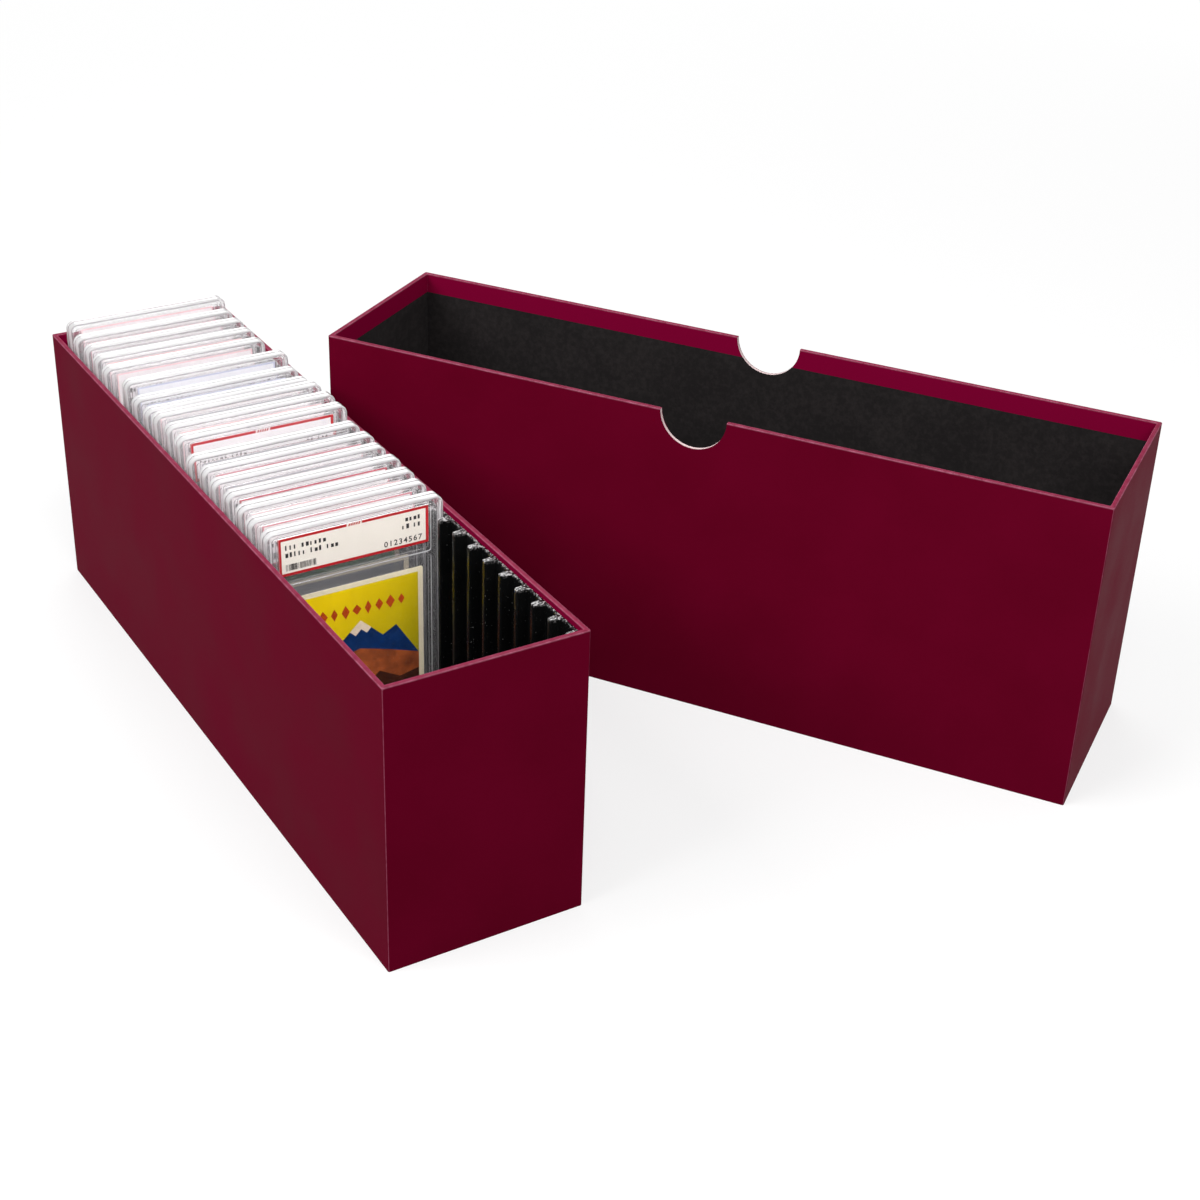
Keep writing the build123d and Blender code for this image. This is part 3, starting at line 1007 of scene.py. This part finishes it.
def add_plate(bm, outline, front=-ink_depth / 2, back=ink_depth / 2, finish_index=0):
    """A thin closed plate of ink: an outline in x and z, from its front depth to its back depth."""
    ahead = [bm.verts.new((x, front, z)) for x, z in outline]
    behind = [bm.verts.new((x, back, z)) for x, z in outline]
    faces = [bm.faces.new(ahead), bm.faces.new(list(reversed(behind)))]
    for here in range(len(outline)):
        after = (here + 1) % len(outline)
        faces.append(bm.faces.new((ahead[after], ahead[here], behind[here], behind[after])))
    for face in faces:
        face.material_index = finish_index


def bar_outline(x, z, width, height, lean=0.0):
    """A bar from its lower left corner, which may lean to the right."""
    return [(x, z), (x + width, z), (x + width + lean, z + height), (x + lean, z + height)]


def print_place(tree):
    """How far across and how far up a printed sheet a point lies, in shares of its size."""
    place = add_node(tree, "ShaderNodeUVMap", uv_map="print").outputs[0]
    spread = add_node(tree, "ShaderNodeSeparateXYZ", {0: place}).outputs
    return spread["X"], spread["Y"]


def label_finish(name, border, field, border_width, half_gap=0):
    """Printed label paper: a pale field inside a border line of its own colour, which may be open
    in the middle of its head."""
    finish, tree, shader = new_finish(name, roughness=0.5, specular=0.3)
    across, up = print_place(tree)
    from_left = reckon("PINGPONG", across, 1.0)
    to_side = reckon("ABSOLUTE", reckon("SUBTRACT", from_left, 0.5))
    off_level = reckon("SUBTRACT", up, 0.5)
    to_level = reckon("ABSOLUTE", off_level)
    side_reach = 0.5 - border_width / label_size.x
    level_reach = 0.5 - border_width / label_size.y
    gap_reach = half_gap / label_size.x
    side_line = between(to_side, side_reach - side_blur, side_reach + side_blur)
    level_line = between(to_level, level_reach - level_blur, level_reach + level_blur)
    beside_gap = between(to_side, gap_reach - level_blur, gap_reach)
    below_head = between(off_level, 0.3, 0.31, 1, 0)
    drawn = reckon("MULTIPLY", level_line, reckon("MAXIMUM", beside_gap, below_head))
    fibre = speckle(piece_coordinates(tree), 1600, 3)
    field_shade = tuple(0.94 * part for part in field[:3]) + (1,)
    field_colour = blend_colours(between(fibre, 0.3, 0.7), field_shade, field)
    tint(shader, reckon("MAXIMUM", side_line, drawn), field_colour, border)
    raise_grain(shader, fibre, label_grain)
    return finish


def ink_finish(name, colour, deep, cells=900):
    """Printing ink on coated stock, with the slight mottle of a press."""
    finish, tree, shader = new_finish(name, roughness=0.42, specular=0.3)
    mottle = speckle(piece_coordinates(tree), cells, 3, 0.6)
    tint(shader, between(mottle, 0.3, 0.7), deep, colour)
    return finish


label_finishes = {
    kind: label_finish(f"{kind}_label", *look)
    for kind, look in {
        "crimson": ((0.47, 0.008, 0.013, 1), cream, broad_border, label_gap),
        "scarlet": ((0.5, 0.012, 0.02, 1), white_stock, broad_border, label_gap),
        "ruby": ((0.5, 0.05, 0.08, 1), white_stock, fine_border),
        "rose": ((0.62, 0.24, 0.28, 1), white_stock, fine_border),
        "blush": ((0.8, 0.55, 0.57, 1), pink_stock, fine_border),
        "grey": ((0.4, 0.4, 0.42, 1), white_stock, fine_border),
        "lilac": ((0.5, 0.52, 0.66, 1), blue_stock, fine_border),
    }.items()
}
label_kinds = (
    "crimson", "rose", "blush", "ruby", "grey", "rose", "grey", "scarlet", "blush",
    "grey", "blush", "lilac", "lilac", "blush", "blush", "grey", "rose", "blush",
)
label_ink = ink_finish("label_black_ink", (0.03, 0.026, 0.026, 1), (0.014, 0.012, 0.012, 1))
emblem_ink = ink_finish("label_red_ink", (0.48, 0.01, 0.016, 1), (0.42, 0.008, 0.012, 1))

bar_tree, bar_given, bar_result = copying_tree(
    "label_bar_block", Bar_Count="Int", Bar_Step="Float", Seed="Int", Material="Material"
)
bar_range = {2: bar_narrowest, 3: bar_widest, "Seed": bar_given["Seed"]}
bar_widths = add_node(bar_tree, "FunctionNodeRandomValue", bar_range, data_type="FLOAT")
bar_stretch = vector_of(bar_tree, X=bar_widths.outputs[1], Y=1.0, Z=1.0)
bar_places = {"Count": bar_given["Bar Count"], "Offset": vector_of(bar_tree, X=bar_given["Bar Step"])}
bar_row = copies_in_a_row(bar_tree, bar_given["Geometry"], bar_places, Scale=bar_stretch)
give_back(bar_tree, bar_result, bar_row, bar_given["Material"])
bar_bm = bmesh.new()
add_plate(bar_bm, bar_outline(0, 0, bar_step, bar_height))
bar = mesh_from(bar_bm, "label_bar")

digit_text = bpy.data.curves.new("counting_digits", "FONT")
digit_text.body = "01234567"
digit_text.align_x = "RIGHT"
digit_text.size = digit_height
digit_text.space_character = digit_spacing
digit_text.extrude = ink_depth / 2
digit_text.offset = digit_swell
digit_text.resolution_u = digit_steps
digits = as_mesh(set_out("counting_digits", digit_text))
digits.transform(Matrix.Translation((label_margin, 0, digit_foot)) @ Matrix.Rotation(math.pi / 2, 4, "X"))

for (number, body, stand, height), kind in zip(holder_stands, label_kinds):
    foot = stand + Vector((0, 0, height - label_drop - label_size.y))
    label = printed_sheet(f"{body}_label", label_size, label_thickness, label_corner)
    label.transform(Matrix.Translation(foot))
    node = f"{body}_label" if number == 1 else f"{body}_label_and_card"
    make_piece(f"{body}_printed_label", label, label_finishes[kind], body, "printed_card", node)

    sizes = {"Bar Count": bar_count, "Bar Step": bar_step, "Seed": number, "Material": label_ink}
    bars = run_tree("label_bar", bar, bar_tree, sizes)
    bars.transform(Matrix.Translation((-label_margin, 0, bar_foot)))
    bm = bmesh.new()
    bm.from_mesh(bars)
    bm.from_mesh(digits)
    dice = random.Random(number)
    for side, rise, words in broad_label_rows if kind == "crimson" else fine_label_rows:
        at = 0
        for letters in words:
            for _ in range(letters):
                left = side * label_margin - side * (at if side < 0 else at + 1) * mark_step
                mark = bar_outline(left, rise, dice.choice(mark_widths), dice.choice(mark_heights))
                add_plate(bm, mark)
                at += 1
            at += word_gap
    if kind in ("crimson", "scarlet"):
        for place in range(emblem_count):
            left = (place - emblem_count / 2) * emblem_step
            stroke = bar_outline(left, emblem_foot, emblem_stroke, emblem_height, emblem_lean)
            add_plate(bm, stroke, finish_index=1)
    ink_front = Vector((0, ink_sink - (label_thickness + ink_depth) / 2, 0))
    bm.transform(Matrix.Translation(foot + ink_front))
    ink = mesh_from(bm, f"{body}_label_ink")
    make_piece(f"{body}_label_ink", ink, label_ink, body, "printed_card")
    ink.materials.append(emblem_ink)

# Cards. Smooth printed card stock with a cream border. The front shows a made-up hill view under a
# row of lozenges, on one of four background inks that take turns, and the back a blue lattice. Each
# lies loose in its holder's pocket.
card_corner = 1.2 * mm
card_border = 2.4 * mm
card_grain = 0.01 * mm
back_border = 3.2 * mm
back_border_blur = 0.1 * mm
print_back = 0.01 * mm
layer_step = 0.005 * mm
lozenge_front = -0.012 * mm
lozenge_count = 9
lozenge_step = 5.3 * mm
lozenge_rise = 75.2 * mm
lozenge_halves = (3.4 * mm, 2.6 * mm, 3.4 * mm, 3.0 * mm)
lozenge_half_widths = (1.9 * mm, 2.2 * mm, 1.6 * mm)
lattice_step = 5.0 * mm
lattice_blue = (0.035, 0.07, 0.2, 1)
lattice_line = (0.36, 0.45, 0.6, 1)
stock_deep = (0.74, 0.66, 0.46, 1)
stock_pale = (0.82, 0.74, 0.55, 1)

card_finish, card_tree, card_shader = new_finish("printed_card_stock", roughness=0.4, specular=0.35)
card_fibre = speckle(piece_coordinates(card_tree), 1500, 3)
card_stock = blend_colours(between(card_fibre, 0.3, 0.7), stock_deep, stock_pale)
card_x, card_y = print_place(card_tree)
card_across = reckon("MULTIPLY", card_x, card_size.x / lattice_step)
card_up = reckon("MULTIPLY", card_y, card_size.y / lattice_step)
card_lines = []
for slant in ("ADD", "SUBTRACT"):
    ripple = reckon("PINGPONG", reckon(slant, card_across, card_up), 0.5)
    card_lines.append(between(ripple, 0.06, 0.09, 1, 0))
back_sides = []
for place, middle, size in ((card_x, 1.5, card_size.x), (card_y, 0.5, card_size.y)):
    off_middle = reckon("ABSOLUTE", reckon("SUBTRACT", place, middle))
    reach = 0.5 - back_border / size
    back_sides.append(between(off_middle, reach, reach + back_border_blur / size, 1, 0))
lattice = reckon("MAXIMUM", *card_lines)
back_print = blend_colours(lattice, lattice_blue, lattice_line)
tint(card_shader, reckon("MULTIPLY", *back_sides), card_stock, back_print)
raise_grain(card_shader, card_fibre, card_grain)


def field_finish(name, light, dark):
    """The card's background ink, which darkens towards its foot and its right edge."""
    finish, tree, shader = new_finish(name, roughness=0.42, specular=0.3)
    across, up = print_place(tree)
    mottle = speckle(piece_coordinates(tree), 700, 3, 0.6)
    fall = between(reckon("SUBTRACT", up, across), 0.6, -0.5)
    shade = reckon("ADD", fall, between(mottle, 0.3, 0.7, -0.05, 0.05))
    tint(shader, shade, light, dark)
    return finish


field_finishes = (
    field_finish("mustard_card_ink", (0.86, 0.62, 0.002, 1), (0.34, 0.29, 0.002, 1)),
    field_finish("slate_card_ink", (0.27, 0.275, 0.28, 1), (0.1, 0.11, 0.125, 1)),
    field_finish("leaf_card_ink", (0.2, 0.45, 0.14, 1), (0.06, 0.2, 0.07, 1)),
    field_finish("brick_card_ink", (0.6, 0.12, 0.06, 1), (0.26, 0.04, 0.03, 1)),
)
view_inks = (
    ink_finish("navy_hill_ink", (0.004, 0.035, 0.15, 1), (0.002, 0.018, 0.08, 1), 300),
    ink_finish("buff_snow_ink", (0.84, 0.7, 0.55, 1), (0.76, 0.6, 0.44, 1), 500),
    ink_finish("russet_slope_ink", (0.42, 0.1, 0.025, 1), (0.16, 0.035, 0.012, 1), 160),
    ink_finish("umber_ridge_ink", (0.07, 0.018, 0.008, 1), (0.025, 0.008, 0.005, 1), 220),
    ink_finish("vermilion_lozenge_ink", (0.5, 0.07, 0.008, 1), (0.36, 0.035, 0.006, 1)),
)
hill = ((-29.3, 44), (-17, 63.5), (-10.5, 58.5), (1.5, 69.5), (12, 59.5), (18.5, 63), (29.3, 46))
snow = ((-3.6, 64.8), (1.5, 69.5), (6.5, 64.8), (4.4, 62.6), (1.7, 65), (-1, 62.3))
slope = ((-29.3, 47), (-12, 52.5), (1, 55.5), (14, 51.5), (29.3, 46), (29.3, 12), (-29.3, 12))
ridge = ((-29.3, 33), (-16, 38), (0, 33), (10, 41.5), (20, 36), (29.3, 38), (29.3, 2.5), (-29.3, 2.5))

for number, body, stand, height in holder_stands:
    foot = stand + Vector((0, 0, height - card_drop - card_size.y))
    card = printed_sheet(f"{body}_card", card_size, card_thickness, card_corner)
    card.transform(Matrix.Translation(foot))
    node = f"{body}_card" if number == 1 else f"{body}_label_and_card"
    make_piece(f"{body}_printed_card", card, card_finish, body, "printed_card", node)

    bm = bmesh.new()
    uv = bm.loops.layers.uv.new("print")
    field_size = [side - 2 * card_border for side in card_size]
    field = bar_outline(-field_size[0] / 2, card_border, *field_size)
    add_plate(bm, field, -layer_step, print_back)
    way = 1 if number % 2 else -1
    for layer, outline in enumerate((hill, snow, slope, ridge), start=1):
        points = [(way * x * mm, z * mm) for x, z in outline][::way]
        add_plate(bm, points, -layer_step * (1 + layer), print_back, layer)
    z = lozenge_rise
    for place in range(lozenge_count):
        x = (place - (lozenge_count - 1) / 2) * lozenge_step
        tall = lozenge_halves[(place + number) % len(lozenge_halves)]
        broad = lozenge_half_widths[(place * number) % len(lozenge_half_widths)]
        lozenge = [(x - broad, z), (x, z - tall), (x + broad, z), (x, z + tall)]
        add_plate(bm, lozenge, lozenge_front, print_back, len(view_inks))
    for face in bm.faces:
        for corner_loop in face.loops:
            place = corner_loop.vert.co
            corner_loop[uv].uv = (place.x / card_size.x + 0.5, place.z / card_size.y)
    bm.transform(Matrix.Translation(foot + Vector((0, -card_thickness / 2, 0))))
    view = mesh_from(bm, f"{body}_card_print")
    field_ink = field_finishes[(number - 1) % len(field_finishes)]
    make_piece(f"{body}_card_print", view, field_ink, body, "printed_card")
    for ink in view_inks:
        view.materials.append(ink)

low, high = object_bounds()
